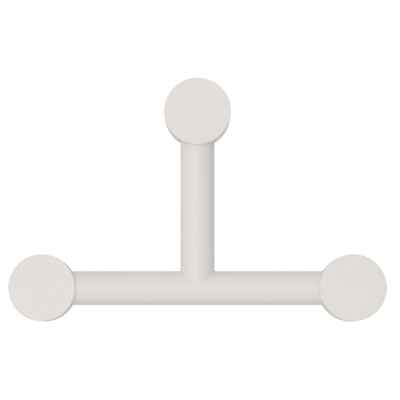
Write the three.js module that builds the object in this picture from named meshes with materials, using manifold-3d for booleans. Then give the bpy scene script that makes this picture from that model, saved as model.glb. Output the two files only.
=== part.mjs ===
// Wall coat rack: two round tubes welded into a T, with a hollow round knob at each of the three ends.
// Each knob hides a disc that is screwed to the wall. The knob slides over it, and a grub screw locks it.
// Millimetres. +Z is up, the wall is the plane y = 0 and the rack stands in front of it, towards -Y.
// The origin is on the wall, straight behind the point where the two tube axes cross.

import * as THREE from "three";
import { mergeVertices } from "three/addons/utils/BufferGeometryUtils.js";
import Module from "manifold-3d";

const wasm = await Module();
wasm.setup();

// ---------------------------------------------------------------- driving dimensions

// the whole rack
const KNOB_SPACING = 233; // between the centres of the two lower knobs
const RISE = 132.5; // from the crossbar's axis up to the top knob's centre

// knobs
const KNOB_DIAMETER = 50;
const KNOB_DEPTH = 45; // from the wall to the front of the knob
const SLEEVE_WALL = 2;
const SLEEVE_OFF_WALL = 0.5; // the sleeve's rear rim stops short of the wall, so the plate takes the load
const FACE_THICKNESS = 3;
const FACE_EDGE_RADIUS = 0.6;
const FACE_LIP = 2.5; // the knob's face stands this far in front of the tubes

// tubes
const TUBE_DIAMETER = 25.4;
const TUBE_WALL = 2;
const VENT_DIAMETER = 6; // lets air out of the closed tubes while they are welded and coated

// wall plates
const PLATE_THICKNESS = 10;
const PLUG_RELIEF_DEPTH = 1.5; // shallow pocket behind the plate, for the plug's collar

// wall screws
const SCREW_DIAMETER = 5;
const SCREW_LENGTH = 50;
const SCREW_HEAD_DIAMETER = 10;
const SCREW_HEAD_RIM = 0.5; // straight edge of the head, above the 90 degree cone
const SCREW_POINT_LENGTH = 5;
const SCREW_RECESS_WIDTH = 1.4; // one arm of the cross recess
const SCREW_RECESS_LENGTH = 4.6;
const SCREW_RECESS_DEPTH = 2;

// wall plugs
const PLUG_LENGTH = 40;
const PLUG_WALL = 1.2;
const PLUG_COLLAR_WIDTH = 1; // how far the collar reaches past the plug's side
const PLUG_COLLAR_THICKNESS = 1;
const PLUG_SLIT_WIDTH = 1;
const PLUG_SLIT_LENGTH = 28; // the two slits start at the plug's far end

// grub screws
const GRUB_DIAMETER = 5;
const GRUB_LENGTH = 10;
const GRUB_SOCKET_WIDTH = 2.5; // across the flats
const GRUB_SOCKET_DEPTH = 3;
const GRUB_CHAMFER = 0.6;
const GRUB_BELOW_SURFACE = 0.5; // its outer end stays this far inside the knob's side

// clearances
const GAP = 0.3; // between pieces that touch or are welded
const PLUG_COLLAR_CLEARANCE = 0.5;
const GRUB_HOLE_SPARE = 2; // depth left over behind the grub screw
const RECESS_CLEARANCE = 1; // how far a cutting tool runs past the surface it opens

// ---------------------------------------------------------------- sizes that follow from them

const knobRadius = KNOB_DIAMETER / 2;
const sleeveBoreRadius = knobRadius - SLEEVE_WALL;
const faceRearY = -(KNOB_DEPTH - FACE_THICKNESS);
const sleeveFrontY = faceRearY + GAP;
const tubeRadius = TUBE_DIAMETER / 2;
const tubeBoreRadius = tubeRadius - TUBE_WALL;
const tubeAxisY = -(KNOB_DEPTH - FACE_LIP - tubeRadius);

const plateRadius = sleeveBoreRadius - GAP;
const plateMiddleY = -PLATE_THICKNESS / 2;
const screwRadius = SCREW_DIAMETER / 2;
const screwHeadRadius = SCREW_HEAD_DIAMETER / 2;
const screwFrontY = -PLATE_THICKNESS;
const plugBoreRadius = screwRadius + GAP;
const plugRadius = plugBoreRadius + PLUG_WALL;
const plugCollarRadius = plugRadius + PLUG_COLLAR_WIDTH;
const plugReliefRadius = plugCollarRadius + PLUG_COLLAR_CLEARANCE;

const grubRadius = GRUB_DIAMETER / 2;
const grubHoleRadius = grubRadius + GAP;
const grubOuterEnd = knobRadius - GRUB_BELOW_SURFACE;
const grubInnerEnd = grubOuterEnd - GRUB_LENGTH;

const ROUND_STEPS = 60;
const SMALL_ROUND_STEPS = 24;
const EDGE_STEPS = 4; // along the knob face's rounded edge

// ---------------------------------------------------------------- materials

const powderCoat = new THREE.MeshStandardMaterial({ color: 0xe2ddd8, roughness: 0.5, metalness: 0 });
const zincPlate = new THREE.MeshStandardMaterial({ color: 0xb9bcc0, roughness: 0.35, metalness: 1 });
const darkSteel = new THREE.MeshStandardMaterial({ color: 0x3a3a3c, roughness: 0.4, metalness: 1 });
const greyNylon = new THREE.MeshStandardMaterial({ color: 0x9fa3a6, roughness: 0.6, metalness: 0 });

// ---------------------------------------------------------------- shape helpers

const AXIS_X = new THREE.Vector3(1, 0, 0);
const AXIS_Y = new THREE.Vector3(0, 1, 0);
const AXIS_Z = new THREE.Vector3(0, 0, 1);

/** A solid that manifold-3d can join and cut, from a closed three.js geometry. */
function toSolid(geometry) {
  const bare = geometry.clone();
  bare.deleteAttribute("normal");
  bare.deleteAttribute("uv");
  const merged = mergeVertices(bare, 1e-4);
  return new wasm.Manifold(
    new wasm.Mesh({
      numProp: 3,
      vertProperties: new Float32Array(merged.attributes.position.array),
      triVerts: new Uint32Array(merged.index.array),
    }),
  );
}

/** A three.js geometry from a finished solid. */
function toGeometry(solid) {
  const mesh = solid.getMesh();
  const indexed = new THREE.BufferGeometry();
  indexed.setAttribute("position", new THREE.BufferAttribute(new Float32Array(mesh.vertProperties), 3));
  indexed.setIndex(new THREE.BufferAttribute(new Uint32Array(mesh.triVerts), 1));
  const geometry = indexed.toNonIndexed();
  geometry.computeVertexNormals();
  return geometry;
}

/** Turns a geometry made along Y so that it lies along `axis`, then moves it. */
function alongAxis(geometry, axis, position) {
  const turn = new THREE.Quaternion().setFromUnitVectors(AXIS_Y, axis);
  return geometry.applyQuaternion(turn).translate(position.x, position.y, position.z);
}

/** A round rod from `start` to `end`, which are distances along `axis` from `base`. */
function rod(radius, start, end, axis, base = new THREE.Vector3(), steps = ROUND_STEPS) {
  const middle = base.clone().addScaledVector(axis, (start + end) / 2);
  const geometry = new THREE.CylinderGeometry(radius, radius, end - start, steps);
  return toSolid(alongAxis(geometry, axis, middle));
}

/** A solid turned about the Y axis from points [radius, y] that start and end on the axis, or close on themselves. */
function turned(points, steps = ROUND_STEPS) {
  const profile = points.map(([radius, y]) => new THREE.Vector2(radius, y));
  return toSolid(new THREE.LatheGeometry(profile, steps));
}

function box(width, depth, height, x, y, z) {
  return toSolid(new THREE.BoxGeometry(width, depth, height).translate(x, y, z));
}

function piece(name, solid, material) {
  const mesh = new THREE.Mesh(toGeometry(solid), material);
  mesh.name = name;
  return mesh;
}

// ---------------------------------------------------------------- tubes

const crossbarBase = new THREE.Vector3(0, tubeAxisY, 0);
const lowerKnobX = KNOB_SPACING / 2;

/** The space that a knob at (x, z) takes away from the end of a tube. */
function knobClearance(x, z) {
  return rod(knobRadius + GAP, 0, KNOB_DEPTH + RECESS_CLEARANCE, AXIS_Y.clone().negate(), new THREE.Vector3(x, 0, z));
}

function crossbarTube() {
  const outside = rod(tubeRadius, -lowerKnobX, lowerKnobX, AXIS_X, crossbarBase);
  const bore = rod(tubeBoreRadius, -KNOB_SPACING, KNOB_SPACING, AXIS_X, crossbarBase);
  const vent = rod(VENT_DIAMETER / 2, 0, TUBE_DIAMETER, AXIS_Z, crossbarBase, SMALL_ROUND_STEPS);
  const ends = knobClearance(-lowerKnobX, 0).add(knobClearance(lowerKnobX, 0));
  return outside.subtract(bore).subtract(vent).subtract(ends);
}

function uprightTube() {
  const outside = rod(tubeRadius, 0, RISE, AXIS_Z, crossbarBase);
  const bore = rod(tubeBoreRadius, -RISE, 2 * RISE, AXIS_Z, crossbarBase);
  const saddle = rod(tubeRadius + GAP, -KNOB_SPACING, KNOB_SPACING, AXIS_X, crossbarBase);
  return outside.subtract(bore).subtract(saddle).subtract(knobClearance(0, RISE));
}

// ---------------------------------------------------------------- one knob, centred on the Y axis

/** The knob's side wall. The tube meets it in one direction, and the grub screw comes in from another. */
function knobSleeve(tubeDirection, lockDirection) {
  const ring = turned([
    [sleeveBoreRadius, -SLEEVE_OFF_WALL],
    [sleeveBoreRadius, sleeveFrontY],
    [knobRadius, sleeveFrontY],
    [knobRadius, -SLEEVE_OFF_WALL],
    [sleeveBoreRadius, -SLEEVE_OFF_WALL],
  ]);
  const ventBase = new THREE.Vector3(0, tubeAxisY, 0);
  const vent = rod(VENT_DIAMETER / 2, 0, KNOB_DIAMETER, tubeDirection, ventBase, SMALL_ROUND_STEPS);
  const lockBase = new THREE.Vector3(0, plateMiddleY, 0);
  const lockHole = rod(grubHoleRadius, 0, KNOB_DIAMETER, lockDirection, lockBase, SMALL_ROUND_STEPS);
  return ring.subtract(vent).subtract(lockHole);
}

/** The knob's front disc, with its front edge rounded. */
function knobFace() {
  const edge = [];
  for (let step = 0; step <= EDGE_STEPS; step += 1) {
    const angle = ((step / EDGE_STEPS) * Math.PI) / 2;
    const radius = knobRadius - FACE_EDGE_RADIUS * (1 - Math.sin(angle));
    const y = -KNOB_DEPTH + FACE_EDGE_RADIUS * (1 - Math.cos(angle));
    edge.push([radius, y]);
  }
  return turned([[0, -KNOB_DEPTH], ...edge, [knobRadius, faceRearY], [0, faceRearY]]);
}

/** The disc on the wall: a countersunk hole, a pocket for the plug's collar and a hole for the grub screw. */
function wallPlate(lockDirection) {
  const disc = turned([
    [0, -PLATE_THICKNESS],
    [plateRadius, -PLATE_THICKNESS],
    [plateRadius, 0],
    [0, 0],
  ]);
  const sink = turned(
    [
      [0, screwFrontY - RECESS_CLEARANCE],
      [screwHeadRadius + GAP, screwFrontY - RECESS_CLEARANCE],
      [screwHeadRadius + GAP, screwFrontY + SCREW_HEAD_RIM],
      [screwRadius + GAP, screwFrontY + SCREW_HEAD_RIM + screwHeadRadius - screwRadius],
      [screwRadius + GAP, RECESS_CLEARANCE],
      [0, RECESS_CLEARANCE],
    ],
    SMALL_ROUND_STEPS,
  );
  const relief = rod(plugReliefRadius, -PLUG_RELIEF_DEPTH, RECESS_CLEARANCE, AXIS_Y, undefined, SMALL_ROUND_STEPS);
  const lockBase = new THREE.Vector3(0, plateMiddleY, 0);
  const lockStart = grubInnerEnd - GRUB_HOLE_SPARE;
  const lockHole = rod(grubHoleRadius, lockStart, KNOB_DIAMETER, lockDirection, lockBase, SMALL_ROUND_STEPS);
  return disc.subtract(sink).subtract(relief).subtract(lockHole);
}

/** A countersunk screw with a cross recess, driven through the plate into the wall. */
function wallScrew() {
  const tipY = screwFrontY + SCREW_LENGTH;
  const body = turned(
    [
      [0, screwFrontY],
      [screwHeadRadius, screwFrontY],
      [screwHeadRadius, screwFrontY + SCREW_HEAD_RIM],
      [screwRadius, screwFrontY + SCREW_HEAD_RIM + screwHeadRadius - screwRadius],
      [screwRadius, tipY - SCREW_POINT_LENGTH],
      [0, tipY],
    ],
    SMALL_ROUND_STEPS,
  );
  const recessDepth = SCREW_RECESS_DEPTH + RECESS_CLEARANCE;
  const recessY = screwFrontY + (SCREW_RECESS_DEPTH - RECESS_CLEARANCE) / 2;
  const level = box(SCREW_RECESS_LENGTH, recessDepth, SCREW_RECESS_WIDTH, 0, recessY, 0);
  const upright = box(SCREW_RECESS_WIDTH, recessDepth, SCREW_RECESS_LENGTH, 0, recessY, 0);
  return body.subtract(level).subtract(upright);
}

/** A nylon plug: a tube in the wall with a collar on the wall's surface and two slits at its far end. */
function wallPlug() {
  const body = turned(
    [
      [plugBoreRadius, -PLUG_COLLAR_THICKNESS],
      [plugCollarRadius, -PLUG_COLLAR_THICKNESS],
      [plugCollarRadius, 0],
      [plugRadius, 0],
      [plugRadius, PLUG_LENGTH],
      [plugBoreRadius, PLUG_LENGTH],
      [plugBoreRadius, -PLUG_COLLAR_THICKNESS],
    ],
    SMALL_ROUND_STEPS,
  );
  const slitLength = PLUG_SLIT_LENGTH + RECESS_CLEARANCE;
  const slitY = PLUG_LENGTH - PLUG_SLIT_LENGTH + slitLength / 2;
  const level = box(4 * plugRadius, slitLength, PLUG_SLIT_WIDTH, 0, slitY, 0);
  const upright = box(PLUG_SLIT_WIDTH, slitLength, 4 * plugRadius, 0, slitY, 0);
  return body.subtract(level).subtract(upright);
}

/** A headless screw with a hex socket, in the plate's rim and the sleeve's hole. */
function grubScrew(lockDirection) {
  const base = new THREE.Vector3(0, plateMiddleY, 0);
  const profile = [
    new THREE.Vector2(0, grubInnerEnd),
    new THREE.Vector2(grubRadius - GRUB_CHAMFER, grubInnerEnd),
    new THREE.Vector2(grubRadius, grubInnerEnd + GRUB_CHAMFER),
    new THREE.Vector2(grubRadius, grubOuterEnd - GRUB_CHAMFER),
    new THREE.Vector2(grubRadius - GRUB_CHAMFER, grubOuterEnd),
    new THREE.Vector2(0, grubOuterEnd),
  ];
  const body = toSolid(alongAxis(new THREE.LatheGeometry(profile, SMALL_ROUND_STEPS), lockDirection, base));
  const socketRadius = GRUB_SOCKET_WIDTH / 2 / Math.cos(Math.PI / 6);
  const socketStart = grubOuterEnd - GRUB_SOCKET_DEPTH;
  return body.subtract(rod(socketRadius, socketStart, KNOB_DIAMETER, lockDirection, base, 6));
}

/** Every piece of one knob, in a group that stands at the knob's centre on the wall. */
function knob(side, x, z, tubeDirection, lockDirection) {
  const group = new THREE.Group();
  group.position.set(x, 0, z);
  group.add(piece(`knob_sleeve_${side}`, knobSleeve(tubeDirection, lockDirection), powderCoat));
  group.add(piece(`knob_face_${side}`, knobFace(), powderCoat));
  group.add(piece(`wall_plate_${side}`, wallPlate(lockDirection), zincPlate));
  group.add(piece(`wall_screw_${side}`, wallScrew(), zincPlate));
  group.add(piece(`wall_plug_${side}`, wallPlug(), greyNylon));
  group.add(piece(`grub_screw_${side}`, grubScrew(lockDirection), darkSteel));
  return group;
}

// ---------------------------------------------------------------- the rack

// The lower knobs are locked from below. The upright comes into the top knob from below, so that one is
// locked from above.
const left = AXIS_X.clone().negate();
const down = AXIS_Z.clone().negate();

const rack = new THREE.Group();
rack.add(piece("crossbar_tube", crossbarTube(), powderCoat));
rack.add(piece("upright_tube", uprightTube(), powderCoat));
rack.add(knob("left", -lowerKnobX, 0, AXIS_X, down));
rack.add(knob("right", lowerKnobX, 0, left, down));
rack.add(knob("top", 0, RISE, down, AXIS_Z));

export default rack;
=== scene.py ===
# %% [markdown]
# # A wall coat rack in powder-coated tube
#
# The rack is a T of two equal steel tubes with a thick round knob at each of its three ends. On the real
# object every joint is welded, ground and then coated in one colour, so no seam shows. The knobs are
# hollow: each one slides over a disc that is screwed to the wall, and a small screw in its side locks it
# there. This lesson builds the finished surfaces around a fixed frame that gives every place and size.

import functools
import math

import bmesh
import bpy
from mathutils import Matrix, Vector


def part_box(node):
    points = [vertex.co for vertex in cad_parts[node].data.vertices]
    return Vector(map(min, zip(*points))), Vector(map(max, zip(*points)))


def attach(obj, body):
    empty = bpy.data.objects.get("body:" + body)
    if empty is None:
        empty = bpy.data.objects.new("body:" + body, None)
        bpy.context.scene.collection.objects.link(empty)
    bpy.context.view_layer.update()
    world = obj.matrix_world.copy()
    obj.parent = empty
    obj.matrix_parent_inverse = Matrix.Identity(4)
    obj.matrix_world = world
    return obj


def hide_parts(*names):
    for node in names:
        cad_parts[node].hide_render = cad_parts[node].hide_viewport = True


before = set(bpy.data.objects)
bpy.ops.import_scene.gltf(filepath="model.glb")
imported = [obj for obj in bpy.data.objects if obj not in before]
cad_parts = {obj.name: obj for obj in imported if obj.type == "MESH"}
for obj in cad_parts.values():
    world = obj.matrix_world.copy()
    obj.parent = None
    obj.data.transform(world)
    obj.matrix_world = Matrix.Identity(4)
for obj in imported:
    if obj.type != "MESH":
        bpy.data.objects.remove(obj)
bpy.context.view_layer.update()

# %% [markdown]
# ## Sizes
#
# The frame knows where each part of the rack is, so the sizes that matter are read from its boxes: the
# knobs' places, their depth, the tubes' thickness and the height of their axes. What a box can't tell,
# such as the width of a thread or of a rounded edge, is a named value here or at the piece that needs it.

# %% Read the rack's sizes from the frame
MM = 0.001


def middle(node):
    """The centre of a node's box."""
    low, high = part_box(node)
    return (low + high) / 2


SIDES = ("left", "right", "top")
knob_centre = {side: middle(f"knob_face_{side}") for side in SIDES}


def knob_axis(side):
    """The point where a knob's axis meets the wall, which is the plane at Y = 0."""
    return Vector((knob_centre[side].x, 0.0, knob_centre[side].z))


face_low, face_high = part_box("knob_face_left")
knob_radius = (face_high.z - face_low.z) / 2
front_y = face_low.y
crossbar_low, crossbar_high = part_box("crossbar_tube")
tube_radius = (crossbar_high.z - crossbar_low.z) / 2
tube_axis_y = middle("crossbar_tube").y
print("knob radius", round(knob_radius / MM, 2), "mm, tube radius", round(tube_radius / MM, 2), "mm")

# %% [markdown]
# ## The camera
#
# The rack is looked at straight from the front by a long lens, from a little below its crossbar. A long
# lens keeps the knobs' sides almost hidden, and the low place lets a thin line of the top knob's
# underside show. The camera is turned up towards the rack rather than shifted, so that it behaves in
# every other view.

# %% Place the camera
CAMERA_TO_WALL = 2.406
CAMERA_HEIGHT = -0.038
VIEW_WIDTH = 0.2995
VIEW_CENTRE_X = 0.0019
VIEW_CENTRE_Z = 0.0657
SENSOR_WIDTH = 36.0
FARTHEST_SEEN = 50.0

camera_data = bpy.data.cameras.new("studio_camera")
camera = bpy.data.objects.new("studio_camera", camera_data)
bpy.context.scene.collection.objects.link(camera)
camera.location = (0.0, -CAMERA_TO_WALL, CAMERA_HEIGHT)
view_centre = Vector((VIEW_CENTRE_X, front_y, VIEW_CENTRE_Z))
sight = view_centre - camera.location
camera.rotation_euler = sight.to_track_quat("-Z", "Y").to_euler()
camera_data.sensor_width = SENSOR_WIDTH
camera_data.lens = SENSOR_WIDTH * sight.length / VIEW_WIDTH
camera_data.clip_end = FARTHEST_SEEN
bpy.context.scene.camera = camera
print("lens", round(camera_data.lens, 1), "mm")

# %% [markdown]
# ## Finishes
#
# Powder coat is a baked skin of molten powder. It is satin rather than glossy, and close up it has a very
# low orange-peel ripple about a millimetre long, with a finer grain on top. Both are bumps made from
# noise in the object's own coordinates. The coat's colour hardly varies, so the noise that tints it is
# kept very weak. Every finish below starts from the same few nodes, so each of those gets a helper first.

# %% Helpers that put a finish together
def start_material(name):
    """A new node material: its node tree, its shader and a reader of the piece's own coordinates."""
    material = bpy.data.materials.new(name)
    material.use_nodes = True
    tree = material.node_tree
    shader = tree.nodes["Principled BSDF"]
    where = tree.nodes.new("ShaderNodeTexCoord")
    return material, tree, shader, where


def add_noise(tree, where, scale, detail=2.0):
    """A noise texture on object coordinates. The scale counts its ripples in each metre."""
    noise = tree.nodes.new("ShaderNodeTexNoise")
    noise.inputs["Scale"].default_value = scale
    noise.inputs["Detail"].default_value = detail
    tree.links.new(where.outputs["Object"], noise.inputs["Vector"])
    return noise


def add_bump(tree, height, distance, under=None):
    """A bump from a height between 0 and 1, laid over an earlier bump where one is given."""
    bump = tree.nodes.new("ShaderNodeBump")
    bump.inputs["Strength"].default_value = 1.0
    bump.inputs["Distance"].default_value = distance
    tree.links.new(height, bump.inputs["Height"])
    if under is not None:
        tree.links.new(under.outputs["Normal"], bump.inputs["Normal"])
    return bump


def mix_by(tree, factor, low, high):
    """A colour that goes from `low` to `high` with a factor between 0 and 1."""
    ramp = tree.nodes.new("ShaderNodeValToRGB")
    ramp.color_ramp.elements[0].color = (*low, 1.0)
    ramp.color_ramp.elements[1].color = (*high, 1.0)
    tree.links.new(factor, ramp.inputs["Fac"])
    return ramp.outputs["Color"]


print("finish helpers ready")

# %% [markdown]
# The coat's ripple comes first and its grain is laid over it, so that both show in the same light.
# Heights are real ones: a ripple of two hundredths of a millimetre is what a fingertip only just feels on
# such a coat.

# %% Powder coat
COAT_LOW = (0.752, 0.712, 0.676)
COAT_HIGH = (0.772, 0.733, 0.697)
COAT_CLOUD_SCALE = 22.0
COAT_ROUGHNESS = 0.46
COAT_IOR = 1.5
PEEL_SCALE = 700.0
PEEL_HEIGHT = 0.02 * MM
GRAIN_SCALE = 3200.0
GRAIN_HEIGHT = 0.004 * MM


def powder_coat():
    """The warm white coat of the tubes and the knobs."""
    material, tree, shader, where = start_material("powder_coat_warm_white")
    clouds = add_noise(tree, where, scale=COAT_CLOUD_SCALE)
    colour = mix_by(tree, clouds.outputs["Fac"], COAT_LOW, COAT_HIGH)
    tree.links.new(colour, shader.inputs["Base Color"])
    shader.inputs["Roughness"].default_value = COAT_ROUGHNESS
    shader.inputs["IOR"].default_value = COAT_IOR
    peel = add_noise(tree, where, scale=PEEL_SCALE, detail=1.0)
    ripple = add_bump(tree, peel.outputs["Fac"], PEEL_HEIGHT)
    grain = add_noise(tree, where, scale=GRAIN_SCALE)
    fine = add_bump(tree, grain.outputs["Fac"], GRAIN_HEIGHT, under=ripple)
    tree.links.new(fine.outputs["Normal"], shader.inputs["Normal"])
    return material


coat = powder_coat()
print("made", coat.name)

# %% [markdown]
# The metal parts behind the knobs are zinc plated. The wall plates are turned on a lathe, which leaves
# fine rings around their centres, so their noise is stretched into rings: the distance from the plate's
# axis is what it reads. The screws are plated too, but rolled rather than turned, so their plating is
# only cloudy. The locking screws have the same clouds in the near-black of oxidised steel.

# %% Zinc plating
ZINC_LOW = (0.50, 0.51, 0.54)
ZINC_HIGH = (0.66, 0.67, 0.69)
ZINC_ROUGHNESS = 0.34
RING_SCALE = 3000.0
RING_HEIGHT = 0.01 * MM


def turned_zinc(side):
    """Zinc-plated steel with turning rings around one knob's axis."""
    material, tree, shader, where = start_material(f"turned_zinc_{side}")
    shader.inputs["Metallic"].default_value = 1.0
    place = tree.nodes.new("ShaderNodeMapping")
    place.inputs["Location"].default_value = -knob_axis(side)
    tree.links.new(where.outputs["Object"], place.inputs["Vector"])
    flat = tree.nodes.new("ShaderNodeVectorMath")
    flat.operation = "MULTIPLY"
    flat.inputs[1].default_value = (1.0, 0.0, 1.0)
    tree.links.new(place.outputs["Vector"], flat.inputs[0])
    reach = tree.nodes.new("ShaderNodeVectorMath")
    reach.operation = "LENGTH"
    tree.links.new(flat.outputs["Vector"], reach.inputs[0])
    rings = tree.nodes.new("ShaderNodeTexNoise")
    rings.noise_dimensions = "1D"
    rings.inputs["Scale"].default_value = RING_SCALE
    rings.inputs["Detail"].default_value = 2.0
    tree.links.new(reach.outputs["Value"], rings.inputs["W"])
    colour = mix_by(tree, rings.outputs["Fac"], ZINC_LOW, ZINC_HIGH)
    tree.links.new(colour, shader.inputs["Base Color"])
    shader.inputs["Roughness"].default_value = ZINC_ROUGHNESS
    bump = add_bump(tree, rings.outputs["Fac"], RING_HEIGHT)
    tree.links.new(bump.outputs["Normal"], shader.inputs["Normal"])
    return material


plate_zinc = {side: turned_zinc(side) for side in SIDES}
print("made", [finish.name for finish in plate_zinc.values()])

# %% [markdown]
# The screws' clouds come from one helper, which is given the two tones that the metal drifts between.

# %% The screws' metals
METAL_CLOUD_SCALE = 600.0
METAL_CLOUD_HEIGHT = 0.006 * MM


def cloudy_metal(name, low, high, roughness):
    """Rolled and plated metal whose tone drifts in small clouds."""
    material, tree, shader, where = start_material(name)
    shader.inputs["Metallic"].default_value = 1.0
    clouds = add_noise(tree, where, scale=METAL_CLOUD_SCALE, detail=3.0)
    tree.links.new(mix_by(tree, clouds.outputs["Fac"], low, high), shader.inputs["Base Color"])
    shader.inputs["Roughness"].default_value = roughness
    bump = add_bump(tree, clouds.outputs["Fac"], METAL_CLOUD_HEIGHT)
    tree.links.new(bump.outputs["Normal"], shader.inputs["Normal"])
    return material


screw_zinc = cloudy_metal(
    "screw_zinc",
    low=(0.52, 0.53, 0.56),
    high=(0.70, 0.71, 0.73),
    roughness=0.30,
)
black_oxide = cloudy_metal(
    "black_oxide_steel",
    low=(0.030, 0.030, 0.033),
    high=(0.060, 0.058, 0.060),
    roughness=0.42,
)
print("made", screw_zinc.name, "and", black_oxide.name)

# %% [markdown]
# Nylon wall plugs are moulded in a blasted tool. They are matte, a little waxy, and slightly mottled.

# %% Moulded nylon
NYLON_LOW = (0.33, 0.35, 0.37)
NYLON_HIGH = (0.40, 0.42, 0.43)
NYLON_CLOUD_SCALE = 260.0
NYLON_ROUGHNESS = 0.55
NYLON_GLOW = 0.08
NYLON_GLOW_DEPTH = 0.6 * MM
NYLON_GRAIN_SCALE = 2600.0
NYLON_GRAIN_HEIGHT = 0.01 * MM


def moulded_nylon():
    """The grey nylon of the wall plugs, which lets a little light into itself."""
    material, tree, shader, where = start_material("grey_nylon")
    clouds = add_noise(tree, where, scale=NYLON_CLOUD_SCALE, detail=3.0)
    colour = mix_by(tree, clouds.outputs["Fac"], NYLON_LOW, NYLON_HIGH)
    tree.links.new(colour, shader.inputs["Base Color"])
    shader.inputs["Roughness"].default_value = NYLON_ROUGHNESS
    shader.inputs["Subsurface Weight"].default_value = NYLON_GLOW
    shader.inputs["Subsurface Radius"].default_value = [NYLON_GLOW_DEPTH] * 3
    grain = add_noise(tree, where, scale=NYLON_GRAIN_SCALE)
    bump = add_bump(tree, grain.outputs["Fac"], NYLON_GRAIN_HEIGHT)
    tree.links.new(bump.outputs["Normal"], shader.inputs["Normal"])
    return material


nylon = moulded_nylon()
print("made", nylon.name)

# %% [markdown]
# ## Turning a mesh into a finished piece
#
# Every piece below starts as a bmesh and ends the same way: its faces are turned outwards, soft shading
# is switched on with sharp edges where the surface really turns, and it takes the place of the plain node
# that it stands for. Holes, slits and sockets are left to a Boolean modifier, which is applied at once,
# because an exact cut through a curved wall has no simple operator of its own.

# %% Helpers that make, drill and finish a piece
SHARP_ANGLE = math.radians(32.0)


def mesh_object(name, work, outward=True):
    """An object from a bmesh, which is used up."""
    if outward:
        bmesh.ops.recalc_face_normals(work, faces=work.faces[:])
    mesh = bpy.data.meshes.new(name)
    work.to_mesh(mesh)
    work.free()
    thing = bpy.data.objects.new(name, mesh)
    bpy.context.scene.collection.objects.link(thing)
    return thing


def cut_away(piece, cutters):
    """Cuts each cutter out of the piece, then removes the cutters."""
    for cutter in cutters:
        cut = piece.modifiers.new("cut", "BOOLEAN")
        cut.operation = "DIFFERENCE"
        cut.solver = "EXACT"
        cut.object = cutter
        bpy.context.view_layer.update()
        evaluated = piece.evaluated_get(bpy.context.evaluated_depsgraph_get())
        shaped = bpy.data.meshes.new_from_object(evaluated)
        piece.modifiers.clear()
        piece.data = shaped
        bpy.data.objects.remove(cutter)


def reopen(piece):
    """A bmesh with a piece's mesh in it, so that something can be added."""
    work = bmesh.new()
    work.from_mesh(piece.data)
    return work


def put_back(piece, work):
    """Writes a bmesh back into its piece. The bmesh is used up."""
    work.to_mesh(piece.data)
    work.free()


def finish_piece(piece, node, finish):
    """Shades the piece, gives it its finish and puts it in the place of a node."""
    piece.data.shade_smooth()
    piece.data.set_sharp_from_angle(angle=SHARP_ANGLE)
    piece.data.materials.clear()
    piece.data.materials.append(finish)
    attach(piece, "root")
    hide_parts(node)
    print(piece.name, len(piece.data.polygons), "faces")


print("piece helpers ready")

# %% [markdown]
# Almost everything on the rack is round, so two starting shapes serve for nearly all of it: a straight
# bar along any axis, and a profile that is spun a full turn about a knob's axis, as on a lathe. Two
# places that differ by less than a thousandth of a millimetre count as one level when edges are chosen.

# %% Helpers for round shapes
BAR_STEPS = 48
MERGE_DISTANCE = 1e-7
SAME_LEVEL = 1e-6


def turn_to(axis):
    """The rotation that lays +Z along an axis."""
    return Vector(axis).to_track_quat("Z", "Y").to_matrix().to_4x4()


def round_bar(radius, start, end, axis, base, segments=BAR_STEPS):
    """A round or many-sided bar along an axis, as a bmesh: a disc, a screw or a cutter."""
    work = bmesh.new()
    along = Vector(axis).normalized()
    place = Matrix.Translation(Vector(base) + along * (start + end) / 2) @ turn_to(along)
    bmesh.ops.create_cone(
        work,
        cap_ends=True,
        segments=segments,
        radius1=radius,
        radius2=radius,
        depth=end - start,
        matrix=place,
    )
    return work


def spin_profile(points, centre, steps, close=True):
    """Spins a profile of (radius, y) points a full turn about the line through `centre` along Y."""
    work = bmesh.new()
    corners = [work.verts.new((centre.x + radius, y, centre.z)) for radius, y in points]
    pairs = list(zip(corners, corners[1:]))
    if close:
        pairs.append((corners[-1], corners[0]))
    edges = [work.edges.new(pair) for pair in pairs]
    bmesh.ops.spin(
        work,
        geom=corners + edges,
        cent=centre,
        axis=(0.0, 1.0, 0.0),
        angle=math.tau,
        steps=steps,
        use_merge=True,
    )
    bmesh.ops.remove_doubles(work, verts=work.verts[:], dist=MERGE_DISTANCE)
    return work


def edges_at(work, y):
    """The edges that lie in one plane parallel to the wall."""
    return [edge for edge in work.edges if all(abs(vert.co.y - y) < SAME_LEVEL for vert in edge.verts)]


def round_off(work, edges, size, steps):
    """Rounds some edges of a bmesh."""
    bmesh.ops.bevel(
        work,
        geom=edges,
        offset=size,
        segments=steps,
        profile=0.5,
        affect="EDGES",
        material=-1,
    )


print("round helpers ready,", BAR_STEPS, "steps round a bar")

# %% [markdown]
# ## The knobs
#
# A knob is a short piece of 50 mm tube with a disc welded on its front. Once the weld is ground and
# coated the two are one surface, so the disc's side and the sleeve's side meet exactly, with no gap. The
# disc's front edge is broken to a small radius, which is what makes the thin soft line around each knob.
# The disc is a cylinder whose front rim is bevelled, and the sleeve is a wall profile spun around the
# knob's axis.
#
# Soft shading averages the directions of the faces that meet at a corner. Next to a rounded edge that
# would tilt the light on a whole flat face, so each flat face gets a narrow ring inside its border, which
# takes up the tilt and leaves the rest flat. The same is done with a ring next to every rounded end
# further on.

# %% The knobs' front discs
FACE_EDGE_RADIUS = 0.6 * MM
FACE_EDGE_STEPS = 7
FACE_THICKNESS = face_high.y - face_low.y
SUPPORT_WIDTH = 0.6 * MM
KNOB_STEPS = 192
Y_AXIS = Vector((0, 1, 0))


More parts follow.
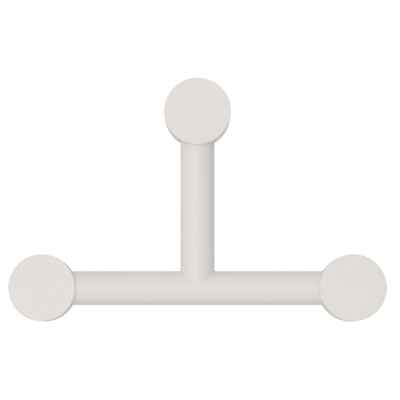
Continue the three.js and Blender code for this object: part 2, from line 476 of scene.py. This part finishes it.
def knob_face(side):
    """A knob's front disc, with its front edge rounded."""
    rear_y = front_y + FACE_THICKNESS
    work = round_bar(knob_radius, front_y, rear_y, Y_AXIS, knob_axis(side), KNOB_STEPS)
    round_off(work, edges_at(work, front_y), FACE_EDGE_RADIUS, FACE_EDGE_STEPS)
    front = [face for face in work.faces if len(face.verts) == KNOB_STEPS and face.normal.y < 0]
    bmesh.ops.inset_individual(work, faces=front, thickness=SUPPORT_WIDTH)
    finish_piece(mesh_object(f"face_disc_{side}", work), f"knob_face_{side}", coat)


for side in SIDES:
    knob_face(side)

# %% [markdown]
# The sleeve's rear rim stops half a millimetre off the wall. Its side has one hole that a hex key goes
# into, so that the locking screw can be backed out into the sleeve. The lower knobs have it underneath,
# and the top knob has it above, because the upright comes in from below. A second hole under each tube
# let the hot air out.

# %% The knobs' sleeves
SLEEVE_WALL = 2.0 * MM
RIM_BREAK = 0.35 * MM
RIM_BREAK_STEPS = 3
KEY_HOLE_RADIUS = 2.8 * MM
VENT_RADIUS = 3.0 * MM
LOCK_SIDE = {"left": Vector((0, 0, -1)), "right": Vector((0, 0, -1)), "top": Vector((0, 0, 1))}
TUBE_SIDE = {"left": Vector((1, 0, 0)), "right": Vector((-1, 0, 0)), "top": Vector((0, 0, -1))}


def goes_around(edge, axis_point):
    """Tells whether both ends of an edge are equally far from a knob's axis."""
    first, second = [(vert.co - axis_point).xz.length for vert in edge.verts]
    return abs(first - second) < SAME_LEVEL


def sleeve(side):
    """A knob's side wall, with its rear rim broken and its two holes drilled."""
    axis_point = knob_axis(side)
    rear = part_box(f"knob_sleeve_{side}")[1].y
    front = front_y + FACE_THICKNESS
    bore = knob_radius - SLEEVE_WALL
    support = rear - RIM_BREAK - SUPPORT_WIDTH
    wall = [
        (bore, rear),
        (bore, support),
        (bore, front),
        (knob_radius, front),
        (knob_radius, support),
        (knob_radius, rear),
    ]
    work = spin_profile(wall, axis_point, KNOB_STEPS)
    rims = [edge for edge in edges_at(work, rear) if goes_around(edge, axis_point)]
    round_off(work, rims, RIM_BREAK, RIM_BREAK_STEPS)
    piece = mesh_object(f"sleeve_{side}", work)
    key_place = axis_point + Y_AXIS * middle(f"wall_plate_{side}").y
    tube_place = axis_point + Y_AXIS * tube_axis_y
    drill_from = bore / 2
    drill_to = 2 * knob_radius
    key_hole = round_bar(KEY_HOLE_RADIUS, drill_from, drill_to, LOCK_SIDE[side], key_place)
    vent = round_bar(VENT_RADIUS, drill_from, drill_to, TUBE_SIDE[side], tube_place)
    cut_away(piece, [mesh_object("key_hole_cutter", key_hole), mesh_object("vent_cutter", vent)])
    finish_piece(piece, f"knob_sleeve_{side}", coat)


for side in SIDES:
    sleeve(side)

# %% [markdown]
# ## The tubes
#
# A tube that meets a round side is cut to a saddle, so that its end follows the side all round, and then
# it is welded. Grinding leaves a small hollow curve between the two surfaces. Each tube here is one
# closed skin, grown ring by ring: a circle is extruded along the tube, down its end, through its bore and
# back to where it began, and every new ring is moved to its place by the rule for that ring. At a welded
# end, the rings follow a curve from the tube's surface to the surface that it meets, and the curve's
# reach depends on how sharply the two surfaces turn into each other: where they run into each other
# smoothly, the curve fades to nothing.

# %% A helper that grows a closed tube from rings
TUBE_WALL = 2.0 * MM
TUBE_STEPS = 144


def grow_tube(name, rings):
    """A closed tube. Each ring is a rule that turns an angle into a point. The last joins the first."""
    work = bmesh.new()
    bmesh.ops.create_circle(work, segments=TUBE_STEPS, radius=1.0)
    first_loop = work.edges[:]
    loop = first_loop
    places = {vert: rings[0](math.atan2(vert.co.y, vert.co.x)) for vert in work.verts}
    for ring in rings[1:]:
        made = bmesh.ops.extrude_edge_only(work, edges=loop)["geom"]
        loop = [item for item in made if isinstance(item, bmesh.types.BMEdge)]
        for vert in (item for item in made if isinstance(item, bmesh.types.BMVert)):
            places[vert] = ring(math.atan2(vert.co.y, vert.co.x))
    for vert, place in places.items():
        vert.co = place
    bmesh.ops.bridge_loops(work, edges=first_loop + loop)
    return mesh_object(name, work)


print("tubes are grown with", TUBE_STEPS, "steps round")

# %% [markdown]
# A ground weld is drawn as one bend between two surfaces. It starts a little way back on the tube, is
# drawn towards the corner where the surfaces would meet, and ends the same way out on the other surface.
# Where they turn into each other at a right angle the reach is the weld's radius, and it shrinks with the
# turn.

# %% The hollow curve of a ground weld
WELD_RADIUS = 0.9 * MM
WELD_STEPS = 6
SMALLEST_REACH = 0.02 * MM


def weld_reach(cos_turn):
    """How far a weld's curve reaches on a surface, from the cosine of the turn between both surfaces."""
    return max(WELD_RADIUS * math.sqrt((1 - cos_turn) / (1 + cos_turn)), SMALLEST_REACH)


def bend(start, corner, end, share):
    """A point on the curve that leaves `start` and reaches `end`, drawn towards the corner between them."""
    return start.lerp(corner, share).lerp(corner.lerp(end, share), share)


def weld_shares(outwards):
    """The places of a weld's rings on its curve, from the tube outwards or back to it."""
    shares = [step / WELD_STEPS for step in range(WELD_STEPS + 1)]
    return shares if outwards else shares[::-1]


print("weld curve in", WELD_STEPS, "steps")

# %% [markdown]
# A tube's angle is counted from its rear, so at angle 0 the point faces the wall and at half a turn it
# faces the viewer. A knob's side falls away on both sides of the tube's middle, by the rule of a circle.
# Two rules then describe every ring: one places a point at a given distance from a knob's axis, and one
# places a point of the upright's foot on the crossbar. Two tubes of one size meet in two straight cuts at
# 45 degrees, which are seen from the front as a V, and a point of the weld on one tube is the mirror of
# its twin on the other.

# %% The rules for the tubes' ends
top_knob_height = knob_centre["top"].z
lower_knob_reach = knob_centre["right"].x
bore_radius = tube_radius - TUBE_WALL


def side_distance(radius, offset):
    """How far a round side lies from its own axis, seen along the tube, at a sideways offset."""
    return math.sqrt(radius * radius - offset * offset)


def crossbar_point(sign, radius, distance, angle):
    """A point at a distance from a lower knob's axis: the left knob's for -1, the right one's for 1."""
    x = sign * (lower_knob_reach - distance)
    return Vector((x, tube_axis_y + radius * math.cos(angle), radius * math.sin(angle)))


def upright_point(radius, distance, angle):
    """A point at a distance below the top knob's axis."""
    height = top_knob_height - distance
    return Vector((radius * math.sin(angle), tube_axis_y + radius * math.cos(angle), height))


def knob_weld_reach(angle):
    """A knob weld's reach, which is shorter where the knob's side leans along the tube."""
    return weld_reach(tube_radius * math.sin(angle) ** 2 / knob_radius)


def foot_weld_reach(angle):
    """The foot weld's reach, which fades to nothing at the front and the back of the upright."""
    return weld_reach(math.cos(angle) ** 2)


def knob_weld(place, share, angle):
    """A point of the weld between a tube and a knob. `place` puts a radius and a distance on that tube."""
    reach = knob_weld_reach(angle)
    wide = tube_radius + reach
    seat = side_distance(knob_radius, tube_radius * math.sin(angle))
    start = place(tube_radius, seat + reach, angle)
    corner = place(tube_radius, seat, angle)
    end = place(wide, side_distance(knob_radius, wide * math.sin(angle)), angle)
    return bend(start, corner, end, share)


def knob_support(place, angle):
    """A point of the ring that stands a little before a knob weld and keeps the tube's shading straight."""
    seat = side_distance(knob_radius, tube_radius * math.sin(angle))
    return place(tube_radius, seat + knob_weld_reach(angle) + SUPPORT_WIDTH, angle)


def knob_bore_end(place, angle):
    """A point of the inner edge of a tube's end at a knob."""
    return place(bore_radius, side_distance(knob_radius, bore_radius * math.sin(angle)), angle)


def foot_weld(share, angle):
    """A point of the weld between the upright's foot and the crossbar."""
    x = tube_radius * math.sin(angle)
    y = tube_axis_y + tube_radius * math.cos(angle)
    reach = foot_weld_reach(angle)
    aside = math.copysign(reach, x) if abs(x) > SMALLEST_REACH else 0.0
    start = Vector((x, y, abs(x) + reach))
    corner = Vector((x, y, abs(x)))
    end = Vector((x + aside, y, abs(x)))
    return bend(start, corner, end, share)


def foot_support(angle):
    """A point of the ring that stands a little above the foot's weld."""
    x = tube_radius * math.sin(angle)
    height = abs(x) + foot_weld_reach(angle) + SUPPORT_WIDTH
    return Vector((x, tube_axis_y + tube_radius * math.cos(angle), height))


def foot_bore_end(angle):
    """A point of the inner edge of the upright's foot."""
    x = bore_radius * math.sin(angle)
    y = bore_radius * math.cos(angle)
    return Vector((x, tube_axis_y + y, side_distance(tube_radius, y)))


print("bore", round(2 * bore_radius / MM, 1), "mm, knobs", round(2 * lower_knob_reach / MM, 1), "mm apart")

# %% [markdown]
# The crossbar's skin starts at its bore's left end, comes back over the left weld, runs along the tube
# and out over the right weld, and returns through the bore. Its saddle ends close against the two lower
# knobs.

# %% The crossbar
def crossbar_rings():
    """The rules of the crossbar's rings, in the order in which they are grown."""
    left = functools.partial(crossbar_point, -1)
    right = functools.partial(crossbar_point, 1)
    rings = [functools.partial(knob_bore_end, left)]
    rings += [functools.partial(knob_weld, left, share) for share in weld_shares(outwards=False)]
    rings += [functools.partial(knob_support, left), functools.partial(knob_support, right)]
    rings += [functools.partial(knob_weld, right, share) for share in weld_shares(outwards=True)]
    rings.append(functools.partial(knob_bore_end, right))
    return rings


crossbar = grow_tube("crossbar", crossbar_rings())
finish_piece(crossbar, "crossbar_tube", coat)

# %% [markdown]
# The upright is grown in the same way, from its foot on the crossbar to the underside of the top knob.
# Only its foot differs, because it follows the crossbar's side and not a knob's.

# %% The upright
def upright_rings():
    """The rules of the upright's rings, in the order in which they are grown."""
    rings = [foot_bore_end]
    rings += [functools.partial(foot_weld, share) for share in weld_shares(outwards=False)]
    rings += [foot_support, functools.partial(knob_support, upright_point)]
    rings += [functools.partial(knob_weld, upright_point, share) for share in weld_shares(outwards=True)]
    rings.append(functools.partial(knob_bore_end, upright_point))
    return rings


upright = grow_tube("upright", upright_rings())
finish_piece(upright, "upright_tube", coat)

# %% [markdown]
# ## Behind the knobs
#
# A wall plate is turned from bar: a disc with a countersunk hole, a shallow pocket in its back for the
# wall plug's collar, chamfered edges, and a threaded hole in its rim. It is one profile spun round, then
# drilled. The hole's own thread is hidden by the locking screw in it, so it stays plain here.

# %% The wall plates
PLATE_CHAMFER = 0.5 * MM
SCREW_HOLE_RADIUS = 2.8 * MM
HEAD_SEAT_RADIUS = 5.3 * MM
HEAD_SEAT_RIM = 0.5 * MM
PLUG_POCKET_RADIUS = 5.5 * MM
PLUG_POCKET_DEPTH = 1.5 * MM
LOCK_HOLE_RADIUS = 2.56 * MM
LOCK_HOLE_OVERRUN = 2.0 * MM
PLATE_STEPS = 120


def wall_plate(side):
    """A turned wall plate with the hole for its locking screw."""
    low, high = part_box(f"wall_plate_{side}")
    radius = (high.x - low.x) / 2
    seat_end = low.y + HEAD_SEAT_RIM + HEAD_SEAT_RADIUS - SCREW_HOLE_RADIUS
    profile = [
        (SCREW_HOLE_RADIUS, high.y - PLUG_POCKET_DEPTH),
        (SCREW_HOLE_RADIUS, seat_end),
        (HEAD_SEAT_RADIUS, low.y + HEAD_SEAT_RIM),
        (HEAD_SEAT_RADIUS, low.y),
        (radius - PLATE_CHAMFER, low.y),
        (radius, low.y + PLATE_CHAMFER),
        (radius, high.y - PLATE_CHAMFER),
        (radius - PLATE_CHAMFER, high.y),
        (PLUG_POCKET_RADIUS, high.y),
        (PLUG_POCKET_RADIUS, high.y - PLUG_POCKET_DEPTH),
    ]
    piece = mesh_object(f"plate_{side}", spin_profile(profile, knob_axis(side), PLATE_STEPS))
    lock_low, lock_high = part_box(f"grub_screw_{side}")
    lock_middle = (lock_low + lock_high) / 2
    lock_start = -(lock_high.z - lock_low.z) / 2 - LOCK_HOLE_OVERRUN
    hole = round_bar(LOCK_HOLE_RADIUS, lock_start, 2 * radius, LOCK_SIDE[side], lock_middle)
    cut_away(piece, [mesh_object("lock_hole_cutter", hole)])
    finish_piece(piece, f"wall_plate_{side}", plate_zinc[side])


for side in SIDES:
    wall_plate(side)

# %% [markdown]
# A rolled thread is a ridge that climbs round a core. The ridge's outline, a triangle with a narrow flat
# crest, is spun about the screw's axis and moved a little along it at every step, and its ends are then
# closed. The ridge's foot is sunk into the core, so the two make one solid screw. The outline's corners
# are given as shares of the pitch.

# %% A helper that winds a thread
THREAD_STEPS = 24
THREAD_SINK = 0.06 * MM
FLANK_END = 0.42
CREST_END = 0.50
RIDGE_END = 0.92


def wind_thread(work, core, crest, pitch, start, length, axis, base):
    """Adds a helical ridge to a bmesh, from `start` along an axis, for a length."""
    along = Vector(axis).normalized()
    outward = along.orthogonal().normalized()
    foot = Vector(base) + along * start
    ridge = [
        (core - THREAD_SINK, 0.0),
        (crest, FLANK_END * pitch),
        (crest, CREST_END * pitch),
        (core - THREAD_SINK, RIDGE_END * pitch),
    ]
    corners = [work.verts.new(foot + outward * reach + along * climb) for reach, climb in ridge]
    edges = [work.edges.new(pair) for pair in zip(corners, corners[1:] + corners[:1])]
    turns = length / pitch - 1
    steps = round(turns * THREAD_STEPS)
    spun = bmesh.ops.spin(
        work,
        geom=corners + edges,
        cent=foot,
        axis=along,
        dvec=along * pitch / THREAD_STEPS,
        angle=steps * math.tau / THREAD_STEPS,
        steps=steps,
    )
    last = [item for item in spun["geom_last"] if isinstance(item, bmesh.types.BMEdge)]
    bmesh.ops.contextual_create(work, geom=edges)
    bmesh.ops.contextual_create(work, geom=last)
    bmesh.ops.recalc_face_normals(work, faces=work.faces[:])


print("thread helper ready,", THREAD_STEPS, "steps a turn")

# %% [markdown]
# The countersunk screws hold the plates to the wall. Their heads lie flush in the plates and have a cross
# recess, cut with two crossed and tapered blades. A spun profile gives the head, the core and the point.

# %% The wall screws
SCREW_CORE_RADIUS = 1.75 * MM
SCREW_CREST_RADIUS = 2.5 * MM
SCREW_HEAD_RADIUS = 5.0 * MM
SCREW_HEAD_RIM = 0.5 * MM
SCREW_PITCH = 2.2 * MM
SCREW_POINT_LENGTH = 5.0 * MM
RECESS_LENGTH = 4.6 * MM
RECESS_WIDTH = 1.4 * MM
RECESS_DEPTH = 2.0 * MM
RECESS_NARROWING = 0.6
SCREW_STEPS = 48


def recess_blade(centre, length, width):
    """One blade of the cross recess: a block that narrows towards the screw's point."""
    work = bmesh.new()
    bmesh.ops.create_cube(work, size=1.0)
    for vert in work.verts:
        narrow = RECESS_NARROWING if vert.co.y > 0 else 1.0
        x = vert.co.x * length * narrow
        z = vert.co.z * width * narrow
        vert.co = Vector((x, vert.co.y * 2 * RECESS_DEPTH, z))
    bmesh.ops.translate(work, verts=work.verts[:], vec=centre)
    return mesh_object("recess_blade", work)


def wall_screw(side):
    """A countersunk wall screw with its recess and its thread."""
    low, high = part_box(f"wall_screw_{side}")
    axis_point = knob_axis(side)
    neck = low.y + SCREW_HEAD_RIM + SCREW_HEAD_RADIUS - SCREW_CORE_RADIUS
    point = high.y - SCREW_POINT_LENGTH
    profile = [
        (0.0, low.y),
        (SCREW_HEAD_RADIUS, low.y),
        (SCREW_HEAD_RADIUS, low.y + SCREW_HEAD_RIM),
        (SCREW_CORE_RADIUS, neck),
        (SCREW_CORE_RADIUS, point),
        (0.0, high.y),
    ]
    piece = mesh_object(f"screw_{side}", spin_profile(profile, axis_point, SCREW_STEPS, close=False))
    head = axis_point + Y_AXIS * low.y
    blades = [
        recess_blade(head, RECESS_LENGTH, RECESS_WIDTH),
        recess_blade(head, RECESS_WIDTH, RECESS_LENGTH),
    ]
    cut_away(piece, blades)
    work = reopen(piece)
    wind_thread(
        work,
        core=SCREW_CORE_RADIUS,
        crest=SCREW_CREST_RADIUS,
        pitch=SCREW_PITCH,
        start=neck,
        length=point - neck,
        axis=Y_AXIS,
        base=axis_point,
    )
    put_back(piece, work)
    finish_piece(piece, f"wall_screw_{side}", screw_zinc)


for side in SIDES:
    wall_screw(side)

# %% [markdown]
# A nylon plug sits in each hole in the wall. It has a thin collar, two fins that keep it from turning,
# saw-tooth ribs that grip the hole, and two slits that let its far end spread when the screw comes in.

# %% The wall plugs
PLUG_BORE_RADIUS = 2.8 * MM
PLUG_ROOT_RADIUS = 3.65 * MM
PLUG_COLLAR_STEP = 1.0 * MM
PLUG_RIB_PITCH = 2.5 * MM
PLUG_RIB_START = 11.0 * MM
PLUG_RIB_DROP = 0.25
PLUG_FIN_START = 1.5 * MM
PLUG_FIN_LENGTH = 8.0 * MM
PLUG_FIN_THICKNESS = 0.8 * MM
PLUG_FIN_HEIGHT = 1.6 * MM
PLUG_SLIT_WIDTH = 1.0 * MM
PLUG_SLIT_LENGTH = 28.0 * MM
SLIT_OVERRUN = 1.0 * MM
PLUG_STEPS = 64


def plug_profile(low, high, collar_radius):
    """The plug's wall, from its collar along its ribs to its far end and back through the bore."""
    crest = collar_radius - PLUG_COLLAR_STEP
    profile = [
        (PLUG_BORE_RADIUS, low.y),
        (collar_radius, low.y),
        (collar_radius, 0.0),
        (crest, 0.0),
        (crest, PLUG_RIB_START),
    ]
    ribs = int((high.y - PLUG_RIB_START) / PLUG_RIB_PITCH)
    for rib in range(ribs):
        start = PLUG_RIB_START + rib * PLUG_RIB_PITCH
        profile.append((PLUG_ROOT_RADIUS, start + PLUG_RIB_DROP * PLUG_RIB_PITCH))
        profile.append((crest, start + PLUG_RIB_PITCH))
    profile.append((PLUG_ROOT_RADIUS, high.y))
    profile.append((PLUG_BORE_RADIUS, high.y))
    return profile


def add_block(work, size, centre):
    """Adds a plain block to a bmesh: a fin, or the shape that a slit cuts away."""
    verts = bmesh.ops.create_cube(work, size=1.0)["verts"]
    bmesh.ops.scale(work, verts=verts, vec=size)
    bmesh.ops.translate(work, verts=verts, vec=centre)


def slit_cutter(size, centre):
    """A block object that cuts one slit."""
    work = bmesh.new()
    add_block(work, size, centre)
    return mesh_object("slit_cutter", work)


def wall_plug(side):
    """A wall plug with its slits cut and its fins on."""
    low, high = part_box(f"wall_plug_{side}")
    axis_point = knob_axis(side)
    collar_radius = (high.x - low.x) / 2
    profile = plug_profile(low, high, collar_radius)
    piece = mesh_object(f"plug_{side}", spin_profile(profile, axis_point, PLUG_STEPS))
    slit_centre = axis_point + Y_AXIS * (high.y - PLUG_SLIT_LENGTH / 2 + SLIT_OVERRUN)
    slit_length = PLUG_SLIT_LENGTH + 2 * SLIT_OVERRUN
    across = 3 * collar_radius
    slits = [
        slit_cutter((across, slit_length, PLUG_SLIT_WIDTH), slit_centre),
        slit_cutter((PLUG_SLIT_WIDTH, slit_length, across), slit_centre),
    ]
    cut_away(piece, slits)
    work = reopen(piece)
    fin_size = (PLUG_FIN_THICKNESS, PLUG_FIN_LENGTH, PLUG_FIN_HEIGHT)
    fin_middle = PLUG_FIN_START + PLUG_FIN_LENGTH / 2
    fin_reach = collar_radius - PLUG_COLLAR_STEP
    for sign in (-1, 1):
        add_block(work, fin_size, axis_point + Vector((0, fin_middle, sign * fin_reach)))
    put_back(piece, work)
    finish_piece(piece, f"wall_plug_{side}", nylon)


for side in SIDES:
    wall_plug(side)

# %% [markdown]
# The locking screws have no head, only a hex socket. Each is backed out of the plate until its end stands
# in the sleeve's hole, just below the knob's side, where a hex key can reach it.

# %% The locking screws
GRUB_CORE_RADIUS = 2.1 * MM
GRUB_CREST_RADIUS = 2.5 * MM
GRUB_PITCH = 0.8 * MM
SOCKET_FLATS = 2.5 * MM
SOCKET_DEPTH = 3.0 * MM
SOCKET_SIDES = 6
SOCKET_OVERRUN = 1.0 * MM
GRUB_CHAMFER = 0.4 * MM
GRUB_CHAMFER_STEPS = 2


def grub_screw(side):
    """A headless locking screw with its socket and its thread."""
    low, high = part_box(f"grub_screw_{side}")
    screw_middle = (low + high) / 2
    half = (high.z - low.z) / 2
    out = LOCK_SIDE[side]
    work = round_bar(GRUB_CORE_RADIUS, -half, half, out, screw_middle)
    ends = [
        edge
        for edge in work.edges
        if abs((edge.verts[0].co - edge.verts[1].co).dot(out)) < SAME_LEVEL
    ]
    round_off(work, ends, GRUB_CHAMFER, GRUB_CHAMFER_STEPS)
    piece = mesh_object(f"locking_screw_{side}", work)
    corner_radius = SOCKET_FLATS / math.sqrt(3)
    socket_end = half + SOCKET_OVERRUN
    socket = round_bar(
        corner_radius, half - SOCKET_DEPTH, socket_end, out, screw_middle, segments=SOCKET_SIDES
    )
    cut_away(piece, [mesh_object("socket_cutter", socket)])
    work = reopen(piece)
    wind_thread(
        work,
        core=GRUB_CORE_RADIUS,
        crest=GRUB_CREST_RADIUS,
        pitch=GRUB_PITCH,
        start=GRUB_CHAMFER - half,
        length=2 * (half - GRUB_CHAMFER),
        axis=out,
        base=screw_middle,
    )
    put_back(piece, work)
    finish_piece(piece, f"grub_screw_{side}", black_oxide)


for side in SIDES:
    grub_screw(side)

# %% [markdown]
# ## The studio
#
# The rack is lit as for a catalogue: a bright surround that is a little stronger on the left, one large
# soft light in front of it, a little to the left, and two weak ones that stand in for white cards held
# below and above it. The surround fills every side, and the soft light makes the faces and the tubes'
# fronts the brightest, so the tubes fall off gently towards their edges, and a little more towards the
# right. The floor is a plain pale sheet well below the rack.

# %% The floor
FLOOR_HEIGHT = -0.34
FLOOR_SIZE = 8.0
FLOOR_LOW = (0.80, 0.80, 0.80)
FLOOR_HIGH = (0.83, 0.83, 0.83)
FLOOR_CLOUD_SCALE = 3.0
FLOOR_ROUGHNESS = 0.8


def plain_floor():
    """A large pale sheet, which belongs to the studio and not to the rack."""
    material, tree, shader, where = start_material("pale_floor")
    clouds = add_noise(tree, where, scale=FLOOR_CLOUD_SCALE)
    tone = mix_by(tree, clouds.outputs["Fac"], FLOOR_LOW, FLOOR_HIGH)
    tree.links.new(tone, shader.inputs["Base Color"])
    shader.inputs["Roughness"].default_value = FLOOR_ROUGHNESS
    work = bmesh.new()
    bmesh.ops.create_grid(work, x_segments=1, y_segments=1, size=FLOOR_SIZE / 2)
    bmesh.ops.translate(work, verts=work.verts[:], vec=(0, 0, FLOOR_HEIGHT))
    floor = mesh_object("floor", work, outward=False)
    floor.data.materials.append(material)


plain_floor()
print("floor at", FLOOR_HEIGHT, "m")

# %% [markdown]
# The surround lights the rack from every side, and its strength runs evenly from left to right. What
# stands behind the rack is paper white, but the surround that lights it is dimmer, so that the backdrop
# doesn't flood the paint. The world therefore has two backgrounds, and only a ray from the camera meets
# the white one.

# %% The surround
SURROUND_LEFT = 0.827
SURROUND_RIGHT = 0.589
BACKDROP_WHITE = 1.0
WHITE = (1.0, 1.0, 1.0, 1.0)


def bright_surround():
    """The light of the world around the rack, and the white that is seen behind it."""
    world = bpy.data.worlds.new("bright_surround")
    bpy.context.scene.world = world
    world.use_nodes = True
    tree = world.node_tree
    direction = tree.nodes.new("ShaderNodeTexCoord")
    parts = tree.nodes.new("ShaderNodeSeparateXYZ")
    tree.links.new(direction.outputs["Generated"], parts.inputs["Vector"])
    across = tree.nodes.new("ShaderNodeMapRange")
    across.inputs["From Min"].default_value = -1.0
    across.inputs["From Max"].default_value = 1.0
    across.inputs["To Min"].default_value = SURROUND_LEFT
    across.inputs["To Max"].default_value = SURROUND_RIGHT
    tree.links.new(parts.outputs["X"], across.inputs["Value"])
    lighting = tree.nodes["Background"]
    lighting.inputs["Color"].default_value = WHITE
    tree.links.new(across.outputs["Result"], lighting.inputs["Strength"])
    backdrop = tree.nodes.new("ShaderNodeBackground")
    backdrop.inputs["Color"].default_value = WHITE
    backdrop.inputs["Strength"].default_value = BACKDROP_WHITE
    ray = tree.nodes.new("ShaderNodeLightPath")
    mix = tree.nodes.new("ShaderNodeMixShader")
    tree.links.new(ray.outputs["Is Camera Ray"], mix.inputs["Fac"])
    tree.links.new(lighting.outputs["Background"], mix.inputs[1])
    tree.links.new(backdrop.outputs["Background"], mix.inputs[2])
    tree.links.new(mix.outputs["Shader"], tree.nodes["World Output"].inputs["Surface"])


bright_surround()
print("surround from", SURROUND_LEFT, "on the left to", SURROUND_RIGHT, "on the right")

# %% [markdown]
# Each soft light is a square panel that looks at the middle of the rack. A large panel far away gives the
# even light of the faces. The two cards are small panels close by: the lower one lifts the underside of
# the crossbar and of the knobs, and the upper one takes the last shade off their tops.

# %% The soft lights
def soft_light(name, azimuth, elevation, distance, size, power):
    """A square soft light that looks at the middle of the rack from a direction given in degrees."""
    turn = math.radians(azimuth)
    lift = math.radians(elevation)
    level = math.cos(lift)
    towards = Vector((math.sin(turn) * level, -math.cos(turn) * level, math.sin(lift)))
    data = bpy.data.lights.new(name, "AREA")
    data.shape = "SQUARE"
    data.size = size
    data.energy = power
    light = bpy.data.objects.new(name, data)
    bpy.context.scene.collection.objects.link(light)
    light.location = view_centre + towards * distance
    light.rotation_euler = (-towards).to_track_quat("-Z", "Y").to_euler()


soft_light("front_softbox", azimuth=-15, elevation=0, distance=2.4, size=1.6, power=17.8)
soft_light("low_white_card", azimuth=0, elevation=-60, distance=0.38, size=0.6, power=0.3)
soft_light("high_white_card", azimuth=0, elevation=45, distance=0.38, size=0.5, power=0.07)
print("soft lights", [light.name for light in bpy.data.lights])

# %% [markdown]
# The picture keeps plain tones. A filmic view would grey the white backdrop and flatten the pale coat.

# %% Picture tones
bpy.context.scene.view_settings.view_transform = "Standard"
bpy.context.scene.view_settings.look = "None"
bpy.context.scene.view_settings.exposure = 0.0
bpy.context.scene.view_settings.gamma = 1.0
print("picture tones", bpy.context.scene.view_settings.view_transform)
